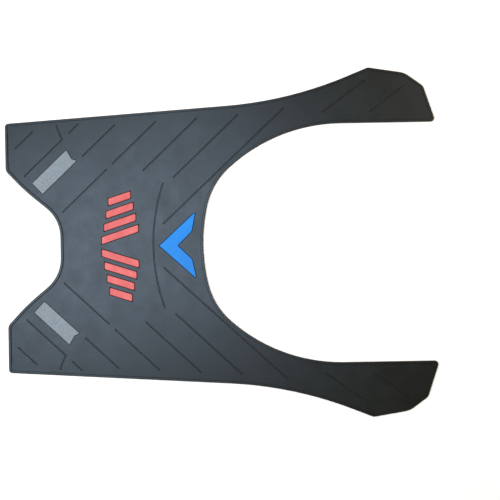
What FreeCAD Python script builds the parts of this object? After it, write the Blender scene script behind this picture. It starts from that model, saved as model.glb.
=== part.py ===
"""Moulded rubber floor mat for a step-through scooter, in millimetres.

The mat lies flat on its underside. Its front edge, with two ears either side of a hollow for the
steering column, faces -X. Its two rear arms, either side of a wide cut-out for the seat base, reach
towards +X. The origin is on the floor under the middle of the outline, and the mat is the same on
both sides of the XZ plane. Coloured inlays sit in shallow pockets in the top.
"""

import FreeCAD, Part
import math
import os

# Overall form
LENGTH = 536.0
WIDTH = 436.5
FRONT_WIDTH = 311.0
SHEET_THICKNESS = 3.6

# Raised bead along the whole edge
RIM_WIDTH = 3.2
RIM_RISE = 0.9
RIM_OUTER_ROUND = 0.8
RIM_INNER_BEVEL = 0.4

# Fine groove at the foot of the bead, along the front of each ear and round the hollow. The inset is
# how far in from the front corners it starts and ends.
LIP_GROOVE_WIDTH = 1.4
LIP_GROOVE_DEPTH = 1.0
LIP_GROOVE_INSET = 12.0

# Hollow in the front edge, with a flat floor and a knuckle on each ear
NOTCH_DEPTH = 67.0
NOTCH_FLOOR_WIDTH = 70.6
NOTCH_BEND_RADIUS = 47.0
KNUCKLE_SETBACK = 24.0
KNUCKLE_SPAN = 142.0
KNUCKLE_RADIUS = 230.0
EAR_GAP = 193.0
EAR_TIP_RADIUS = 10.0
FRONT_CORNER_RADIUS = 4.5

# Flanks, which flare gently and then sweep out to the shoulders
FLANK_FLARE = 3.7
FLANK_RADIUS = 495.0
SHOULDER_RISE = 22.0
SHOULDER_SETBACK = 82.0
SHOULDER_RADIUS = 7.0

# Rear ends of the arms
TIP_SETBACK = 36.5
TIP_DROP = 7.3
TIP_RADIUS = 25.0
END_DROP = 24.0
END_RADIUS = 9.0
END_LEAN = 18.6
ARM_CORNER_RADIUS = 4.5

# Rear cut-out: a shallow floor, a tighter bend, then a flank that runs into the arm
CUTOUT_DEPTH = 291.0
CUTOUT_WIDTH = 298.6
CUTOUT_FLOOR_RADIUS = 214.0
CUTOUT_FLOOR_TURN = 13.3
CUTOUT_BEND_RADIUS = 90.0
CUTOUT_BEND_TURN = 34.7

# Moulded grooves, with sloping walls and ends
GROOVE_WIDTH = 2.0
GROOVE_FLOOR_WIDTH = 0.95
GROOVE_DEPTH = 1.5
GROOVE_ANGLE = 43.3
GROOVE_SPACING = 47.65
GROOVE_SETBACK = 119.1
GROOVE_MARGIN = 13.0

# Breaks and ends of the slanting grooves, measured out from the centre line
KINK_OFFSET = 134.5
KINK_ANGLE = 112.0
KINK_LENGTH = 19.0
KINK_MARGIN = 8.0
TICK_OFFSET = 143.0
BREAK_OFFSET = 96.0
BREAK_WIDTH = 8.0
FOURTH_GROOVE_OFFSET = 95.0
FIFTH_GROOVE_OFFSET = 85.5

# Long groove beside the cut-out
LONG_GROOVE_LEAD = 49.0
LONG_GROOVE_OFFSET = 27.6
LONG_GROOVE_REACH = 168.4
LONG_GROOVE_ANGLE = 42.9
LONG_GROOVE_MARGIN = 5.2

# Curved groove ahead of the cut-out
CURVED_GROOVE_LEAD = 62.0
CURVED_GROOVE_RADIUS = 236.0
CURVED_GROOVE_SPAN = 157.0

# Grooves in each arm
ARM_GROOVE_COUNT = 2
ARM_GROOVE_ANGLE = 36.0
ARM_GROOVE_SETBACK = 80.0
ARM_GROOVE_SPACING = 59.0
ARM_GROOVE_MARGIN = 14.0

# Inlays: how deep they sit, how far they stand up, and the play around them
INLAY_SEAT = 0.9
INLAY_RISE = 0.9
INLAY_CLEARANCE = 0.6
INLAY_EDGE_BEVEL = 0.5
INLAY_CORNER_RADIUS = 1.0

# Chevron ahead of the cut-out
CHEVRON_LEAD = 54.8
CHEVRON_SPAN = 84.0
CHEVRON_LENGTH = 46.0
CHEVRON_BAND = 23.3
CHEVRON_INNER_SPAN = 35.0
CHEVRON_INNER_LENGTH = 41.0

# Strip on each ear, ahead of a groove and beside its line, with a notch in its rear end
STRIP_OFFSET = 66.2
STRIP_STANDOFF = 1.0
STRIP_LENGTH = 59.6
STRIP_WIDTH = 18.9
STRIP_NOTCH_DEPTH = 3.0
STRIP_NOTCH_OFFSET = 6.2
STRIP_GAP = 9.8

# Tread bars in the middle, in mirrored pairs that shorten outwards. The longest pair lies this far
# behind the hollow and ahead of the curved groove, and keeps that ratio where the room differs.
BAR_COUNT = 4
BAR_SETBACK = 50.8
BAR_LEAD = 18.2
BAR_LENGTH = 46.0
BAR_SHORTENING = 6.0
BAR_WIDTH = 8.8
BAR_PITCH = 15.0
BAR_OFFSET = 15.0
BAR_SLANT = 18.0

FRONT = -LENGTH / 2
REAR = LENGTH / 2
NOTCH_FLOOR = FRONT + NOTCH_DEPTH
CUTOUT_FLOOR = REAR - CUTOUT_DEPTH
CURVED_GROOVE_FRONT = CUTOUT_FLOOR - CURVED_GROOVE_LEAD
INLAY_FLOOR = SHEET_THICKNESS - INLAY_SEAT
MIRROR_BASE = FreeCAD.Vector(0, 0, 0)
MIRROR_NORMAL = FreeCAD.Vector(0, 1, 0)


def point(x, y, z=0.0):
    """A point or a step, in millimetres."""
    return FreeCAD.Vector(x, y, z)


def heading(degrees):
    """The level unit step that is turned this far from +X towards +Y."""
    angle = math.radians(degrees)
    return point(math.cos(angle), math.sin(angle))


def crossing(start, along, other, towards):
    """The point where the level line from start meets the level line through other."""
    reach = (other - start).cross(towards).z / along.cross(towards).z
    return start + along * reach


def rounded_path(corners):
    """Lines through the corners, each a (point, radius), with tangent arcs; the ends stay as given."""
    edges = []
    start = corners[0][0]
    for before, (corner, radius), after in zip(corners, corners[1:], corners[2:]):
        back = (before[0] - corner).normalize()
        ahead = (after[0] - corner).normalize()
        half_angle = back.getAngle(ahead) / 2
        run = radius / math.tan(half_angle)
        inward = (back + ahead).normalize() * (radius / math.sin(half_angle) - radius)
        edges.append(Part.makeLine(start, corner + back * run))
        edges.append(Part.Arc(corner + back * run, corner + inward, corner + ahead * run).toShape())
        start = corner + ahead * run
    edges.append(Part.makeLine(start, corners[-1][0]))
    return edges


def rounded_loop(points, radius):
    """A closed wire through the points, with every corner rounded to the radius."""
    middle = (points[-1] + points[0]) * 0.5
    corners = [(middle, 0)] + [(corner, radius) for corner in points] + [(middle, 0)]
    return Part.Wire(rounded_path(corners))


def cutout_edges():
    """The half of the rear cut-out on the +Y side, from the centre line to the arm, and its end."""
    floor_sine = math.sin(math.radians(CUTOUT_FLOOR_TURN))
    bend_sine = math.sin(math.radians(CUTOUT_FLOOR_TURN + CUTOUT_BEND_TURN))
    bend_reach = CUTOUT_FLOOR_RADIUS * floor_sine + CUTOUT_BEND_RADIUS * (bend_sine - floor_sine)
    flank_radius = (CUTOUT_WIDTH / 2 - bend_reach) / (1 - bend_sine)
    flank_turn = 90 - CUTOUT_FLOOR_TURN - CUTOUT_BEND_TURN
    bends = [
        (CUTOUT_FLOOR_RADIUS, CUTOUT_FLOOR_TURN),
        (CUTOUT_BEND_RADIUS, CUTOUT_BEND_TURN),
        (flank_radius, flank_turn),
    ]
    edges = []
    start = point(CUTOUT_FLOOR, 0)
    outward = 180.0
    for radius, turn in bends:
        centre = start - heading(outward) * radius
        middle = centre + heading(outward - turn / 2) * radius
        end = centre + heading(outward - turn) * radius
        edges.append(Part.Arc(start, middle, end).toShape())
        start = end
        outward -= turn
    return edges, start


def outline():
    """The closed outline of the mat, in the floor plane."""
    cutout, arm_start = cutout_edges()
    front_corner = point(FRONT, FRONT_WIDTH / 2)
    shoulder = point(REAR - SHOULDER_SETBACK, WIDTH / 2)
    # The rounding between flank and shoulder ends before the shoulder's own rounding starts
    sweep = crossing(front_corner, heading(FLANK_FLARE), shoulder, heading(SHOULDER_RISE))
    half_turn = math.radians(SHOULDER_RISE - FLANK_FLARE) / 2
    sweep_room = (shoulder - sweep).Length - SHOULDER_RADIUS
    sweep_radius = min(FLANK_RADIUS, sweep_room / math.tan(half_turn))
    lean = math.radians(END_LEAN)
    corner_loss = ARM_CORNER_RADIUS * (math.tan(lean) + 1 / math.cos(lean) - 1)
    arm_corner = point(REAR + corner_loss, CUTOUT_WIDTH / 2)
    end_height = WIDTH / 2 - END_DROP
    end_corner = point(arm_corner.x - (end_height - arm_corner.y) * math.tan(lean), end_height)
    corners = [
        (point(NOTCH_FLOOR, 0), 0),
        (point(NOTCH_FLOOR, NOTCH_FLOOR_WIDTH / 2), NOTCH_BEND_RADIUS),
        (point(FRONT + KNUCKLE_SETBACK, KNUCKLE_SPAN / 2), KNUCKLE_RADIUS),
        (point(FRONT, EAR_GAP / 2), EAR_TIP_RADIUS),
        (front_corner, FRONT_CORNER_RADIUS),
        (sweep, sweep_radius),
        (shoulder, SHOULDER_RADIUS),
        (point(REAR - TIP_SETBACK, WIDTH / 2 - TIP_DROP), TIP_RADIUS),
        (end_corner, END_RADIUS),
        (arm_corner, ARM_CORNER_RADIUS),
        (arm_start, 0),
    ]
    half = rounded_path(corners) + cutout
    other_half = [edge.mirror(MIRROR_BASE, MIRROR_NORMAL) for edge in half]
    return Part.Wire(Part.__sortEdges__(half + other_half))


def inset_face(wire, margin):
    """The face inside the wire that stays clear of it by the margin."""
    return Part.Face(wire.makeOffset2D(-margin))


def slab(wire, bottom, top):
    """The solid that fills a closed wire between two heights."""
    face = Part.Face(wire)
    face.translate(point(0, 0, bottom))
    return face.extrude(point(0, 0, top - bottom))


def slot_corners(start, end, width, height):
    """The corners of a straight slot that runs half its width past its ends, at a height."""
    along = (end - start).normalize() * (width / 2)
    side = point(-along.y, along.x)
    lift = point(0, 0, height)
    tail = start - along + lift
    tip = end + along + lift
    return [tail - side, tip - side, tip + side, tail + side]


def polygon_face(corners):
    """The flat face inside a ring of corners."""
    return Part.Face(Part.makePolygon(corners + corners[:1]))


def frustum(lower, upper):
    """The flat-sided solid between two rings of corners, one above the other."""
    faces = [polygon_face(lower), polygon_face(upper)]
    for index, corner in enumerate(lower):
        faces.append(polygon_face([lower[index - 1], corner, upper[index], upper[index - 1]]))
    return Part.makeSolid(Part.makeShell(faces))


def groove_levels():
    """The (width, height) of a groove at its floor, and as far above the sheet as it is deep."""
    return [
        (GROOVE_FLOOR_WIDTH, SHEET_THICKNESS - GROOVE_DEPTH),
        (2 * GROOVE_WIDTH - GROOVE_FLOOR_WIDTH, SHEET_THICKNESS + GROOVE_DEPTH),
    ]


def groove_cutter(start, end):
    """What a straight groove takes out of the sheet."""
    lower, upper = [slot_corners(start, end, width, height) for width, height in groove_levels()]
    return frustum(lower, upper)


def curved_groove_cutter():
    """What the curved groove takes out: a section that turns about the centre of its arc."""
    centre = point(CURVED_GROOVE_FRONT + CURVED_GROOVE_RADIUS, 0)
    half_turn = math.degrees(math.asin(CURVED_GROOVE_SPAN / 2 / CURVED_GROOVE_RADIUS))
    outward = heading(180 - half_turn)
    lower, upper = [
        [
            centre + outward * (CURVED_GROOVE_RADIUS - width / 2) + point(0, 0, height),
            centre + outward * (CURVED_GROOVE_RADIUS + width / 2) + point(0, 0, height),
        ]
        for width, height in groove_levels()
    ]
    return polygon_face(lower + upper[::-1]).revolve(centre, point(0, 0, 1), 2 * half_turn)


def groove_point(line, offset):
    """The point this far from the centre line on a slanting groove line, counted from 0 at the front."""
    start = FRONT - GROOVE_SETBACK + line * GROOVE_SPACING
    return point(start + offset / math.tan(math.radians(GROOVE_ANGLE)), offset)


def clipped(start, end, face):
    """The stretches of a straight line that lie inside a face, as pairs of points."""
    inside = Part.makeLine(start, end).common(face)
    return [(edge.Vertexes[0].Point, edge.Vertexes[1].Point) for edge in inside.Edges]


def groove_runs(edge_wire):
    """Start and end of every straight groove on the +Y side."""
    reach = WIDTH / 2
    strip_rise = (STRIP_LENGTH + STRIP_GAP) * math.sin(math.radians(GROOVE_ANGLE))
    spans_by_line = [
        [(0, reach)],
        [(0, KINK_OFFSET)],
        [(STRIP_OFFSET + strip_rise, reach)],
        [(0, BREAK_OFFSET), (BREAK_OFFSET + BREAK_WIDTH, reach)],
        [(FOURTH_GROOVE_OFFSET, reach)],
        [(FIFTH_GROOVE_OFFSET, reach)],
    ]
    field = inset_face(edge_wire, GROOVE_MARGIN)
    runs = []
    for line, spans in enumerate(spans_by_line):
        for first, last in spans:
            runs += clipped(groove_point(line, first), groove_point(line, last), field)
    kinked_line = 1
    kink = groove_point(kinked_line, KINK_OFFSET)
    kink_field = inset_face(edge_wire, KINK_MARGIN)
    runs += clipped(kink, kink + heading(KINK_ANGLE) * KINK_LENGTH, kink_field)
    tick = groove_point(kinked_line, TICK_OFFSET)
    runs += clipped(tick, groove_point(kinked_line, reach), kink_field)

    long_start = point(CUTOUT_FLOOR - LONG_GROOVE_LEAD, LONG_GROOVE_OFFSET)
    long_run = (LONG_GROOVE_REACH - LONG_GROOVE_OFFSET) / math.sin(math.radians(LONG_GROOVE_ANGLE))
    long_end = long_start + heading(LONG_GROOVE_ANGLE) * long_run
    runs += clipped(long_start, long_end, inset_face(edge_wire, LONG_GROOVE_MARGIN))

    arm_field = inset_face(edge_wire, ARM_GROOVE_MARGIN)
    for index in range(ARM_GROOVE_COUNT):
        setback = ARM_GROOVE_SETBACK + index * ARM_GROOVE_SPACING
        arm_start = point(REAR - setback, CUTOUT_WIDTH / 2 + ARM_GROOVE_MARGIN)
        runs += clipped(arm_start, arm_start + heading(ARM_GROOVE_ANGLE) * reach, arm_field)
    return runs


def lip_groove_cutter(edge_wire):
    """What the groove inside the front bead takes out, from one front corner round to the other."""
    bottom = SHEET_THICKNESS - LIP_GROOVE_DEPTH
    outer = inset_face(edge_wire, RIM_WIDTH).OuterWire
    inner = inset_face(edge_wire, RIM_WIDTH + LIP_GROOVE_WIDTH).OuterWire
    ring = slab(outer, bottom, SHEET_THICKNESS).cut(slab(inner, bottom, SHEET_THICKNESS))
    half_span = FRONT_WIDTH / 2 - LIP_GROOVE_INSET
    length = NOTCH_DEPTH + 2 * (RIM_WIDTH + LIP_GROOVE_WIDTH)
    front_end = Part.makeBox(length, 2 * half_span, SHEET_THICKNESS, point(FRONT, -half_span))
    return ring.common(front_end)


def groove_cutters(edge_wire):
    """Everything that the grooves take out of the sheet, on both sides."""
    cutters = [lip_groove_cutter(edge_wire), curved_groove_cutter()]
    for start, end in groove_runs(edge_wire):
        cutter = groove_cutter(start, end)
        cutters += [cutter, cutter.mirror(MIRROR_BASE, MIRROR_NORMAL)]
    return cutters


def rimmed_sheet(edge_wire):
    """The plain sheet with its raised, rounded bead."""
    top = SHEET_THICKNESS + RIM_RISE
    sheet = slab(edge_wire, 0, top)
    field = inset_face(edge_wire, RIM_WIDTH).OuterWire
    sheet = sheet.cut(slab(field, SHEET_THICKNESS, top))
    top_face = max(sheet.Faces, key=lambda face: face.CenterOfMass.z)
    sheet = sheet.makeFillet(RIM_OUTER_ROUND, top_face.OuterWire.Edges)
    top_face = max(sheet.Faces, key=lambda face: face.CenterOfMass.z)
    inner_wire = min(top_face.Wires, key=lambda wire: wire.BoundBox.DiagonalLength)
    return sheet.makeChamfer(RIM_INNER_BEVEL, inner_wire.Edges)


def chevron_wire():
    """The outline of the chevron, which points forwards."""
    apex = CUTOUT_FLOOR - CHEVRON_LEAD
    tip = (apex + CHEVRON_LENGTH, CHEVRON_SPAN / 2)
    inner = (apex + CHEVRON_INNER_LENGTH, CHEVRON_INNER_SPAN / 2)
    corners = [
        point(apex, 0),
        point(tip[0], -tip[1]),
        point(inner[0], -inner[1]),
        point(apex + CHEVRON_BAND, 0),
        point(*inner),
        point(*tip),
    ]
    return rounded_loop(corners, INLAY_CORNER_RADIUS)


def strip_wire():
    """The outline of the strip on the +Y side."""
    strip_line = 2
    along = heading(GROOVE_ANGLE)
    across = heading(GROOVE_ANGLE + 90)
    corner = groove_point(strip_line, STRIP_OFFSET) + across * STRIP_STANDOFF
    corners = [
        corner,
        corner + along * STRIP_LENGTH,
        corner + along * (STRIP_LENGTH - STRIP_NOTCH_DEPTH) + across * STRIP_NOTCH_OFFSET,
        corner + along * STRIP_LENGTH + across * STRIP_WIDTH,
        corner + across * STRIP_WIDTH,
    ]
    return rounded_loop(corners, INLAY_CORNER_RADIUS)


def bar_wire(index):
    """The outline of a tread bar on the +Y side, counted out from the centre line."""
    spare_room = CURVED_GROOVE_FRONT - NOTCH_FLOOR - BAR_LENGTH
    room_ahead = spare_room * BAR_SETBACK / (BAR_SETBACK + BAR_LEAD)
    middle = NOTCH_FLOOR + room_ahead + BAR_LENGTH / 2
    centre = point(middle, BAR_OFFSET + index * BAR_PITCH)
    half_length = (BAR_LENGTH - index * BAR_SHORTENING) / 2
    slant = math.radians(BAR_SLANT)
    along = point(half_length, half_length * math.tan(slant))
    across = point(0, BAR_WIDTH / 2 / math.cos(slant))
    corners = [
        centre - along - across,
        centre + along - across,
        centre + along + across,
        centre - along + across,
    ]
    return Part.makePolygon(corners + corners[:1])


def inlay(wire):
    """A coloured inlay of this outline, on its pocket floor, with its top edge bevelled."""
    top = SHEET_THICKNESS + INLAY_RISE
    body = slab(wire, INLAY_FLOOR, top)
    top_face = max(body.Faces, key=lambda face: face.CenterOfMass.z)
    return body.makeChamfer(INLAY_EDGE_BEVEL, top_face.Edges)


def inlay_wires():
    """The outline of every inlay, by the name of its sub-part."""
    strip = strip_wire()
    wires = {
        "blue_chevron": chevron_wire(),
        "grey_strip_right": strip,
        "grey_strip_left": strip.mirror(MIRROR_BASE, MIRROR_NORMAL),
    }
    for index in range(BAR_COUNT):
        bar = bar_wire(index)
        wires[f"red_bar_right_{index + 1}"] = bar
        wires[f"red_bar_left_{index + 1}"] = bar.mirror(MIRROR_BASE, MIRROR_NORMAL)
    return wires


def mat_sheet(wires):
    """The black sheet, with its bead, its grooves and a pocket for each inlay."""
    edge_wire = outline()
    sheet = rimmed_sheet(edge_wire)
    top = SHEET_THICKNESS + RIM_RISE
    pockets = [
        slab(wire.makeOffset2D(INLAY_CLEARANCE), INLAY_FLOOR, top) for wire in wires.values()
    ]
    return sheet.cut(groove_cutters(edge_wire)).cut(pockets)


def main():
    """Build every sub-part and write it out."""
    os.makedirs("parts", exist_ok=True)
    wires = inlay_wires()
    parts = {name: inlay(wire) for name, wire in wires.items()}
    parts["mat_sheet"] = mat_sheet(wires)
    for name, shape in parts.items():
        shape.exportStep(f"parts/{name}.step")


main()
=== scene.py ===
"""Looks for the moulded rubber floor mat of a step-through scooter.

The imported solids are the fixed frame. Each one is copied here, its edges are softened as a mould
leaves them, and it is dressed in a procedural rubber. The mat lies on a pale floor under a large
soft box and a weak warm lamp, and the camera looks straight down on it. Sizes are in millimetres
and angles in degrees until they are used.
"""

import logging
import math
from abc import ABC, abstractmethod
from dataclasses import dataclass
from enum import Enum

import bmesh
import bpy
from mathutils import Euler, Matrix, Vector


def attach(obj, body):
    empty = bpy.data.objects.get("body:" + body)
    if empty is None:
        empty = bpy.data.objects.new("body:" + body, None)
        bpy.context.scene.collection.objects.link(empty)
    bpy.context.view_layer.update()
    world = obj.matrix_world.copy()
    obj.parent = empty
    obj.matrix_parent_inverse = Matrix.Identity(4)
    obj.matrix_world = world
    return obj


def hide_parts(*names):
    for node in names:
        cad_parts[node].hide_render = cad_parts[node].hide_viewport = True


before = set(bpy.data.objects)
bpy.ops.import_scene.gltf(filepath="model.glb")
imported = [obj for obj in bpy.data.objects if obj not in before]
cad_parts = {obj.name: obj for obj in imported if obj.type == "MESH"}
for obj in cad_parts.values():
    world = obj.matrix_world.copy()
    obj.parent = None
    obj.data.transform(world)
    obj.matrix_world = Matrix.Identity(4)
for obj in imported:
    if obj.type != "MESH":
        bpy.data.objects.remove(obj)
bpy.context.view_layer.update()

MM = 0.001
BODY = "root"

# Heights of the moulding above the floor, as the frame has them
GROOVE_FLOOR = 2.1
LIP_FLOOR = 2.6
POCKET_FLOOR = 2.7
SHEET_TOP = 3.6
INLAY_SHOULDER = 3.9
INLAY_TOP = 4.5

# The sRGB curve: a straight toe up to its knee and a power above it
SRGB_KNEE = 0.04045
SRGB_TOE = 12.92
SRGB_OFFSET = 0.055
SRGB_POWER = 2.4
FULL_CHANNEL = 255

# A noise texture's values nearly all lie between these
NOISE_LOW = 0.3
NOISE_HIGH = 0.7

# Sockets of the node that mixes two colours, whose names it uses more than once
MIX_FACTOR = 0
MIX_FIRST = 6
MIX_SECOND = 7
MIX_RESULT = 2

log = logging.getLogger("floor_mat")


class Slot(Enum):
    """The record's material slots."""

    BLACK = "black_rubber"
    GREY = "grey_rubber"
    BLUE = "blue_rubber"
    RED = "red_rubber"


class Side(Enum):
    """The two sides of the mat, seen from the seat."""

    LEFT = "left"
    RIGHT = "right"


def linear(hex_colour: str) -> tuple[float, float, float, float]:
    """Turn an sRGB hex colour into a linear one.

    Args:
        hex_colour: Six hex digits after a hash.

    Returns:
        Red, green, blue and alpha, linear.
    """
    channels = [value / FULL_CHANNEL for value in bytes.fromhex(hex_colour.removeprefix("#"))]
    red, green, blue = (
        c / SRGB_TOE if c <= SRGB_KNEE else ((c + SRGB_OFFSET) / (1 + SRGB_OFFSET)) ** SRGB_POWER
        for c in channels
    )
    return red, green, blue, 1.0


def per_metre(size: float) -> float:
    """Give the texture scale whose features are about this many millimetres wide."""
    return 1.0 / (size * MM)


def add_node(
    tree: bpy.types.NodeTree,
    kind: str,
    links: dict[str | int, bpy.types.NodeSocket] | None = None,
    inputs: dict[str | int, object] | None = None,
    **settings: object,
) -> bpy.types.Node:
    """Add a node with its settings, its constants and its links.

    Args:
        tree: The node tree that gets the node.
        kind: The node's type name.
        links: The socket that feeds each input.
        inputs: The constant of each input.
        settings: The node's own properties.

    Returns:
        The new node.
    """
    node = tree.nodes.new(kind)
    for name, value in settings.items():
        setattr(node, name, value)
    for socket, value in (inputs or {}).items():
        node.inputs[socket].default_value = value
    for socket, source in (links or {}).items():
        tree.links.new(source, node.inputs[socket])
    return node


@dataclass(frozen=True)
class RubberFinish:
    """A pigmented, moulded rubber: matt, with a fine grain from the mould and a faint cloudy bloom."""

    name: str
    base: str
    bloom: str
    roughness: float
    specular: float = 0.2
    sheen: str = "#ffffff"
    roughness_spread: float = 0.045
    cloud_size: float = 32.0
    cloud_octaves: float = 5.0
    cloud_falloff: float = 0.8
    # The mould's grit is finer than this, which is the finest that still shows from above
    grain_size: float = 1.2
    grain_octaves: float = 2.0
    grain_depth: float = 0.04
    ior: float = 1.52

    def colour(
        self, tree: bpy.types.NodeTree, coords: bpy.types.NodeSocket, cloud: bpy.types.NodeSocket
    ) -> bpy.types.NodeSocket:
        """Mix the pigment with its bloom in soft clouds.

        Args:
            tree: The material's node tree.
            coords: Object coordinates, not used here.
            cloud: How dense the bloom is from place to place.

        Returns:
            The colour.
        """
        amount = add_node(
            tree, "ShaderNodeMapRange", {"Value": cloud},
            {"From Min": NOISE_LOW, "From Max": NOISE_HIGH},
        )
        mix = add_node(
            tree, "ShaderNodeMix", {MIX_FACTOR: amount.outputs["Result"]},
            {MIX_FIRST: linear(self.base), MIX_SECOND: linear(self.bloom)}, data_type="RGBA",
        )
        return mix.outputs[MIX_RESULT]

    def paint_foot_shading(
        self,
        tree: bpy.types.NodeTree,
        coords: bpy.types.NodeSocket,
        pigment: bpy.types.NodeSocket,
        painted_foot_colour: str,
        foot: float,
        top: float,
    ) -> bpy.types.NodeSocket:
        """Blend the pigment into a painted colour towards the foot: painted light low on the sheet,
        painted shade at the inlays' foot.

        Args:
            tree: The material's node tree.
            coords: Object coordinates.
            pigment: The colour without the painted light or shade.
            painted_foot_colour: The painted colour at the foot.
            foot: The height below which only the painted colour is left.
            top: The height above which the pigment is left unpainted.

        Returns:
            The colour.
        """
        height = add_node(tree, "ShaderNodeSeparateXYZ", {"Vector": coords}).outputs["Z"]
        lift = add_node(
            tree, "ShaderNodeMapRange", {"Value": height},
            {"From Min": foot * MM, "From Max": top * MM},
        )
        mix = add_node(
            tree, "ShaderNodeMix", {MIX_FACTOR: lift.outputs["Result"], MIX_SECOND: pigment},
            {MIX_FIRST: linear(painted_foot_colour)}, data_type="RGBA",
        )
        return mix.outputs[MIX_RESULT]

    def gloss(
        self, tree: bpy.types.NodeTree, coords: bpy.types.NodeSocket, cloud: bpy.types.NodeSocket
    ) -> bpy.types.NodeSocket:
        """Dull the gloss where the bloom is dense.

        Args:
            tree: The material's node tree.
            coords: Object coordinates, not used here.
            cloud: How dense the bloom is from place to place.

        Returns:
            The roughness.
        """
        roughness = add_node(
            tree, "ShaderNodeMapRange", {"Value": cloud},
            {
                "From Min": NOISE_LOW,
                "From Max": NOISE_HIGH,
                "To Min": self.roughness - self.roughness_spread,
                "To Max": self.roughness + self.roughness_spread,
            },
        )
        return roughness.outputs["Result"]

    def material(self) -> bpy.types.Material:
        """Build the material from its pigment, its grain and its uneven gloss.

        The grain breaks up the gloss from point to point, and the bloom dulls it in soft patches.

        Returns:
            The material.
        """
        material = bpy.data.materials.new(self.name)
        material.use_nodes = True
        tree = material.node_tree
        tree.nodes.clear()
        coords = add_node(tree, "ShaderNodeTexCoord").outputs["Object"]
        cloud = add_node(
            tree, "ShaderNodeTexNoise", {"Vector": coords},
            {
                "Scale": per_metre(self.cloud_size),
                "Detail": self.cloud_octaves,
                "Roughness": self.cloud_falloff,
            },
        ).outputs["Fac"]
        grain = add_node(
            tree, "ShaderNodeTexNoise", {"Vector": coords},
            {"Scale": per_metre(self.grain_size), "Detail": self.grain_octaves},
        ).outputs["Fac"]
        bump = add_node(
            tree, "ShaderNodeBump", {"Height": grain},
            {"Strength": 1.0, "Distance": self.grain_depth * MM},
        )
        shader = add_node(
            tree, "ShaderNodeBsdfPrincipled",
            {
                "Base Color": self.colour(tree, coords, cloud),
                "Roughness": self.gloss(tree, coords, cloud),
                "Normal": bump.outputs["Normal"],
            },
            {
                "IOR": self.ior,
                "Specular IOR Level": self.specular,
                "Specular Tint": linear(self.sheen),
            },
        )
        add_node(tree, "ShaderNodeOutputMaterial", {"Surface": shader.outputs["BSDF"]})
        return material


@dataclass(frozen=True)
class SheetFinish(RubberFinish):
    """The black sheet's rubber: painted light pales it down in its grooves; it is a little dull in its
    grooves and dull in its pockets.
    """

    # Painted light: down in the grooves, and everywhere below the sheet's top, the pigment turns to
    # this paler colour, which softens their shade
    groove_painted_light: str = "#1e1d15"
    groove_roughness: float = 0.4
    pocket_roughness: float = 0.85
    # How far above or below it a point still counts as on a dull floor
    floor_band: float = 0.04

    def colour(
        self, tree: bpy.types.NodeTree, coords: bpy.types.NodeSocket, cloud: bpy.types.NodeSocket
    ) -> bpy.types.NodeSocket:
        """Pale the clouded pigment with painted light, the more the deeper each point lies in a
        groove.

        Args:
            tree: The material's node tree.
            coords: Object coordinates.
            cloud: How dense the bloom is from place to place.

        Returns:
            The colour.
        """
        pigment = super().colour(tree, coords, cloud)
        return self.paint_foot_shading(tree, coords, pigment, self.groove_painted_light, GROOVE_FLOOR, SHEET_TOP)

    def gloss(
        self, tree: bpy.types.NodeTree, coords: bpy.types.NodeSocket, cloud: bpy.types.NodeSocket
    ) -> bpy.types.NodeSocket:
        """Dull the gloss on the floors of the grooves and round the inlays too, where dust gathers.

        Args:
            tree: The material's node tree.
            coords: Object coordinates.
            cloud: How dense the bloom is from place to place.

        Returns:
            The roughness.
        """
        height = add_node(tree, "ShaderNodeSeparateXYZ", {"Vector": coords}).outputs["Z"]
        roughness = super().gloss(tree, coords, cloud)
        floors = {
            GROOVE_FLOOR: self.groove_roughness,
            LIP_FLOOR: self.groove_roughness,
            POCKET_FLOOR: self.pocket_roughness,
        }
        for level, dull in floors.items():
            floor = add_node(
                tree, "ShaderNodeMath", {0: height}, {1: level * MM, 2: self.floor_band * MM},
                operation="COMPARE",
            )
            dullness = add_node(
                tree, "ShaderNodeMath", {0: floor.outputs["Value"]}, {1: dull},
                operation="MULTIPLY",
            )
            duller = add_node(
                tree, "ShaderNodeMath", {0: roughness, 1: dullness.outputs["Value"]},
                operation="MAXIMUM",
            )
            roughness = duller.outputs["Value"]
        return roughness


@dataclass(frozen=True)
class InlayFinish(RubberFinish):
    """A coloured inlay's rubber, with painted shade along the foot of its edges."""

    # Painted shade: towards the foot of its edges the inlay's colour turns to this dark one
    painted_foot_colour: str = "#141210"
    # How far below the top the painted shade ends
    shade_free_depth: float = 0.05

    def colour(
        self, tree: bpy.types.NodeTree, coords: bpy.types.NodeSocket, cloud: bpy.types.NodeSocket
    ) -> bpy.types.NodeSocket:
        """Paint shade onto the clouded pigment down the sides of the inlay, darkest at their foot.

        Args:
            tree: The material's node tree.
            coords: Object coordinates.
            cloud: How dense the bloom is from place to place.

        Returns:
            The colour.
        """
        pigment = super().colour(tree, coords, cloud)
        shade_free_top = INLAY_TOP - self.shade_free_depth
        return self.paint_foot_shading(tree, coords, pigment, self.painted_foot_colour, INLAY_SHOULDER, shade_free_top)


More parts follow.
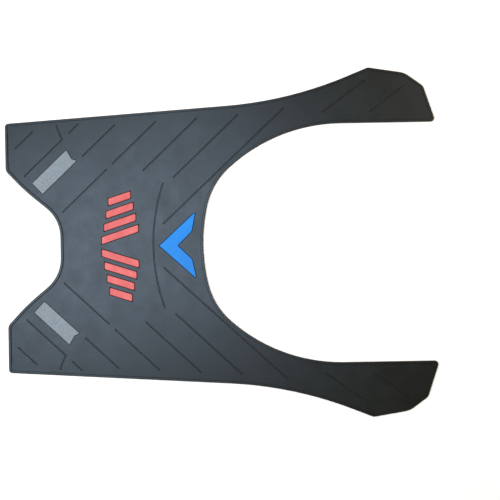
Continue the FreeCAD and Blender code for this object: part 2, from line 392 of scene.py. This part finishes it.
@dataclass(frozen=True)
class FleckedFinish(RubberFinish):
    """A rubber with silver pigment, whose flakes show as pale specks from point to point: partly their
    own speckle, partly a painted glint.
    """

    # Pale specks for the flakes: partly the pigment's own speckle, partly painted glint
    speck_and_glint_colour: str = "#b6c4ce"
    # The flakes are finer than this, which is the finest that still shows from above
    fleck_size: float = 1.2
    # Share of the flakes that stay dull, and how far the brightest one hides the pigment
    dull_share: float = 0.3
    fleck_cover: float = 0.22

    def colour(
        self, tree: bpy.types.NodeTree, coords: bpy.types.NodeSocket, cloud: bpy.types.NodeSocket
    ) -> bpy.types.NodeSocket:
        """Strew pale flakes over the clouded pigment: partly their own speckle, partly a painted
        glint.

        Args:
            tree: The material's node tree.
            coords: Object coordinates.
            cloud: How dense the bloom is from place to place.

        Returns:
            The colour.
        """
        pigment = super().colour(tree, coords, cloud)
        flakes = add_node(
            tree, "ShaderNodeTexVoronoi", {"Vector": coords}, {"Scale": per_metre(self.fleck_size)},
        )
        speck_and_glint = add_node(
            tree, "ShaderNodeMapRange", {"Value": flakes.outputs["Color"]},
            {"From Min": self.dull_share, "To Max": self.fleck_cover},
        )
        mix = add_node(
            tree, "ShaderNodeMix", {MIX_FACTOR: speck_and_glint.outputs["Result"], MIX_FIRST: pigment},
            {MIX_SECOND: linear(self.speck_and_glint_colour)}, data_type="RGBA",
        )
        return mix.outputs[MIX_RESULT]


# Black rubber, compression moulded: a cool sheen under the soft box and near black away from it
BLACK_RUBBER = SheetFinish(
    name="black_moulded_rubber", base="#15140b", bloom="#19180f",
    roughness=0.34, specular=0.204, sheen="#c8e2ff",
)

# Rubber with silver pigment: pale and even, with a fine sparkle painted as pale specks
SILVER_RUBBER = FleckedFinish(
    name="silver_pigmented_rubber", base="#63727d", bloom="#6b7984", roughness=0.5,
)

# Blue pigmented rubber: clean, strong colour with a satin skin
BLUE_RUBBER = InlayFinish(
    name="blue_pigmented_rubber", base="#1270c4", bloom="#1e82dd", roughness=0.5, specular=0.1,
)

# Red pigmented rubber: strong colour that a dusty bloom turns pinkish
RED_RUBBER = InlayFinish(
    name="red_pigmented_rubber", base="#b74a4c", bloom="#d37274", roughness=0.5, specular=0.12,
)


@dataclass
class Moulding(ABC):
    """Solids of one rubber, copied from the frame and softened as they come out of a mould."""

    finish: RubberFinish
    slot: Slot
    edge_round: float
    edge_segments: int = 3
    corner_round: float = 0.0
    corner_segments: int = 5
    # Faces that meet at less than this are stretches of one round
    sharp_angle: float = 25.0
    # Points closer than this are one point of the solid
    merge_gap: float = 0.002
    # Faces that meet at less than this are one flat face
    flat_angle: float = 0.5
    # How far flat faces hold the shading level against the roundings beside them
    flat_weight: int = 100

    @abstractmethod
    def names(self) -> dict[str, str]:
        """Give the name of the piece that stands for each solid."""

    def build(self) -> list[bpy.types.Object]:
        """Build the piece of every solid."""
        return [self.build_piece(node, name) for node, name in self.names().items()]

    def dress(self, pieces: list[bpy.types.Object]) -> None:
        """Give all the pieces the one finish.

        Args:
            pieces: The pieces to dress.
        """
        material = self.finish.material()
        for piece in pieces:
            piece.data.materials.append(material)

    def build_piece(self, node: str, name: str) -> bpy.types.Object:
        """Make the softened piece that stands for a solid.

        Args:
            node: The solid's name in the frame.
            name: The piece's name.

        Returns:
            The piece, which rides on the frame.
        """
        mesh = self.copy_solid(node)
        if self.corner_round:
            self.round_off(mesh, self.upright_corners(mesh), self.corner_round, self.corner_segments)
        self.round_off(mesh, self.sharp_edges(mesh), self.edge_round, self.edge_segments)
        data = bpy.data.meshes.new(name)
        mesh.to_mesh(data)
        mesh.free()
        data.shade_smooth()
        data.set_sharp_from_angle(angle=math.radians(self.sharp_angle))
        piece = bpy.data.objects.new(name, data)
        bpy.context.scene.collection.objects.link(piece)
        even = piece.modifiers.new("even_shading", "WEIGHTED_NORMAL")
        even.weight = self.flat_weight
        even.keep_sharp = True
        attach(piece, BODY)
        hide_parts(node)
        return piece

    def copy_solid(self, node: str) -> bmesh.types.BMesh:
        """Copy a solid's mesh, join its loose triangles and clear the inner edges of flat faces.

        Args:
            node: The solid's name in the frame.

        Returns:
            The closed mesh.
        """
        mesh = bmesh.new()
        mesh.from_mesh(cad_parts[node].data)
        bmesh.ops.remove_doubles(mesh, verts=mesh.verts, dist=self.merge_gap * MM)
        bmesh.ops.dissolve_limit(
            mesh, angle_limit=math.radians(self.flat_angle), verts=mesh.verts, edges=mesh.edges,
        )
        return mesh

    def round_off(
        self, mesh: bmesh.types.BMesh, edges: list[bmesh.types.BMEdge], radius: float, segments: int
    ) -> None:
        """Round some edges of a mesh.

        Args:
            mesh: The mesh to change.
            edges: The edges to round.
            radius: How far the rounding reaches from the edge.
            segments: Faces across the rounding.
        """
        bmesh.ops.bevel(
            mesh, geom=edges, offset=radius * MM, offset_type="OFFSET", affect="EDGES",
            segments=segments, profile=0.5, clamp_overlap=True, material=-1,
        )

    def sharp_edges(self, mesh: bmesh.types.BMesh) -> list[bmesh.types.BMEdge]:
        """List the outer edges that are too sharp to be part of a round."""
        limit = math.radians(self.sharp_angle)
        return [edge for edge in mesh.edges if edge.is_convex and edge.calc_face_angle() > limit]

    def upright_corners(self, mesh: bmesh.types.BMesh) -> list[bmesh.types.BMEdge]:
        """List the sharp edges that climb, which are the corners of the outline."""
        return [edge for edge in self.sharp_edges(mesh) if self.climbs(edge)]

    def climbs(self, edge: bmesh.types.BMEdge) -> bool:
        """Tell whether an edge leaves its level."""
        foot, head = edge.verts
        return abs(foot.co.z - head.co.z) > self.merge_gap * MM


@dataclass
class MouldedSheet(Moulding):
    """The black sheet with its bead, its grooves and the pockets for the inlays."""

    finish: RubberFinish = BLACK_RUBBER
    slot: Slot = Slot.BLACK
    edge_round: float = 0.3

    def names(self) -> dict[str, str]:
        """Give the name of the piece that stands for the sheet."""
        return {"mat_sheet": "moulded_sheet"}


@dataclass
class EarStrips(Moulding):
    """The silver-grey strip on each ear."""

    finish: RubberFinish = SILVER_RUBBER
    slot: Slot = Slot.GREY
    edge_round: float = 0.15

    def names(self) -> dict[str, str]:
        """Give the name of the piece that stands for each strip."""
        return {f"grey_strip_{side.value}": f"silver_strip_{side.value}" for side in Side}


@dataclass
class Chevron(Moulding):
    """The blue chevron ahead of the rear cut-out."""

    finish: RubberFinish = BLUE_RUBBER
    slot: Slot = Slot.BLUE
    edge_round: float = 0.15

    def names(self) -> dict[str, str]:
        """Give the name of the piece that stands for the chevron."""
        return {"blue_chevron": "chevron"}


@dataclass
class TreadBars(Moulding):
    """The red tread bars in the middle, in mirrored pairs."""

    finish: RubberFinish = RED_RUBBER
    slot: Slot = Slot.RED
    edge_round: float = 0.15
    corner_round: float = 1.4
    count: int = 4

    def names(self) -> dict[str, str]:
        """Give the name of the piece that stands for each bar, from the middle outwards."""
        places = [f"{side.value}_{number}" for side in Side for number in range(1, self.count + 1)]
        return {f"red_bar_{place}": f"tread_bar_{place}" for place in places}


@dataclass(frozen=True)
class HangingLight:
    """A soft light that hangs level and shines straight down."""

    name: str
    power: float
    colour: str
    length: float
    width: float
    place: tuple[float, float, float]
    turn: float = 0.0

    def hang(self) -> None:
        """Hang the light in its place."""
        light = bpy.data.lights.new(self.name, "AREA")
        light.shape = "RECTANGLE"
        light.size = self.length * MM
        light.size_y = self.width * MM
        light.energy = self.power
        light.color = linear(self.colour)[:3]
        lamp = bpy.data.objects.new(self.name, light)
        lamp.location = Vector(self.place) * MM
        lamp.rotation_euler = Euler((0.0, 0.0, math.radians(self.turn)))
        bpy.context.scene.collection.objects.link(lamp)


# One large soft box above the front of the mat, slantwise to it: a broad sheen that fades rearwards
SOFT_BOX = HangingLight(
    name="soft_box", power=31.0, colour="#ffffff", length=1010.0, width=590.0,
    place=(-400.0, 12.0, 1500.0), turn=18.0,
)

# A weak warm lamp beyond the rear of the mat, to the right of it: a faint glow on the arms
WARM_LAMP = HangingLight(
    name="warm_lamp", power=4.7, colour="#ffe2c4", length=500.0, width=500.0,
    place=(675.0, 360.0, 900.0),
)


@dataclass
class Studio:
    """The pale floor, the dim room, the lights and the camera above the mat."""

    floor_half: float = 4000.0
    # How far the floor lies below the underside, so that the two stay apart
    floor_drop: float = 0.3
    floor_colour: str = "#f8f8f8"
    floor_roughness: float = 0.8
    room_colour: str = "#fff8ee"
    room_strength: float = 0.132
    lights: tuple[HangingLight, ...] = (SOFT_BOX, WARM_LAMP)
    # What the square picture spans on the floor, and where the camera hangs above it
    view_width: float = 626.0
    view_height: float = 1300.0
    view_centre: tuple[float, float] = (35.4, -7.2)
    view_turn: float = -1.0
    sensor_width: float = 36.0

    def make(self) -> None:
        """Set up everything around the mat."""
        self.lay_floor()
        self.light_room()
        for light in self.lights:
            light.hang()
        self.place_camera()
        bpy.context.scene.view_settings.view_transform = "Standard"

    def lay_floor(self) -> None:
        """Lay a matt pale floor just under the mat."""
        mesh = bmesh.new()
        bmesh.ops.create_grid(mesh, x_segments=1, y_segments=1, size=self.floor_half * MM)
        bmesh.ops.translate(mesh, verts=mesh.verts, vec=Vector((0, 0, -self.floor_drop * MM)))
        data = bpy.data.meshes.new("studio_floor")
        mesh.to_mesh(data)
        mesh.free()
        floor = bpy.data.objects.new("studio_floor", data)
        bpy.context.scene.collection.objects.link(floor)
        material = bpy.data.materials.new("matt_floor_paint")
        material.use_nodes = True
        shader = material.node_tree.nodes["Principled BSDF"]
        shader.inputs["Base Color"].default_value = linear(self.floor_colour)
        shader.inputs["Roughness"].default_value = self.floor_roughness
        data.materials.append(material)

    def light_room(self) -> None:
        """Fill the room with a dim, even, slightly warm light."""
        world = bpy.data.worlds.new("studio_room")
        world.use_nodes = True
        background = world.node_tree.nodes["Background"]
        background.inputs["Color"].default_value = linear(self.room_colour)
        background.inputs["Strength"].default_value = self.room_strength
        bpy.context.scene.world = world

    def place_camera(self) -> None:
        """Look straight down, turned a little, with the framing of a square picture."""
        camera = bpy.data.cameras.new("overhead_camera")
        camera.sensor_width = self.sensor_width
        camera.lens = self.sensor_width * self.view_height / self.view_width
        overhead = bpy.data.objects.new("overhead_camera", camera)
        overhead.location = Vector((*self.view_centre, self.view_height)) * MM
        overhead.rotation_euler = Euler((0.0, 0.0, math.radians(self.view_turn)))
        bpy.context.scene.collection.objects.link(overhead)
        bpy.context.scene.camera = overhead


def main() -> None:
    """Build the mat's sub-assemblies in order, then the studio around them."""
    logging.basicConfig(level=logging.INFO, format="%(name)s: %(message)s")
    for assembly in (MouldedSheet(), EarStrips(), Chevron(), TreadBars()):
        pieces = assembly.build()
        assembly.dress(pieces)
        for piece in pieces:
            log.info("%s has %d faces", piece.name, len(piece.data.polygons))
    Studio().make()


if __name__ == "__main__":
    main()
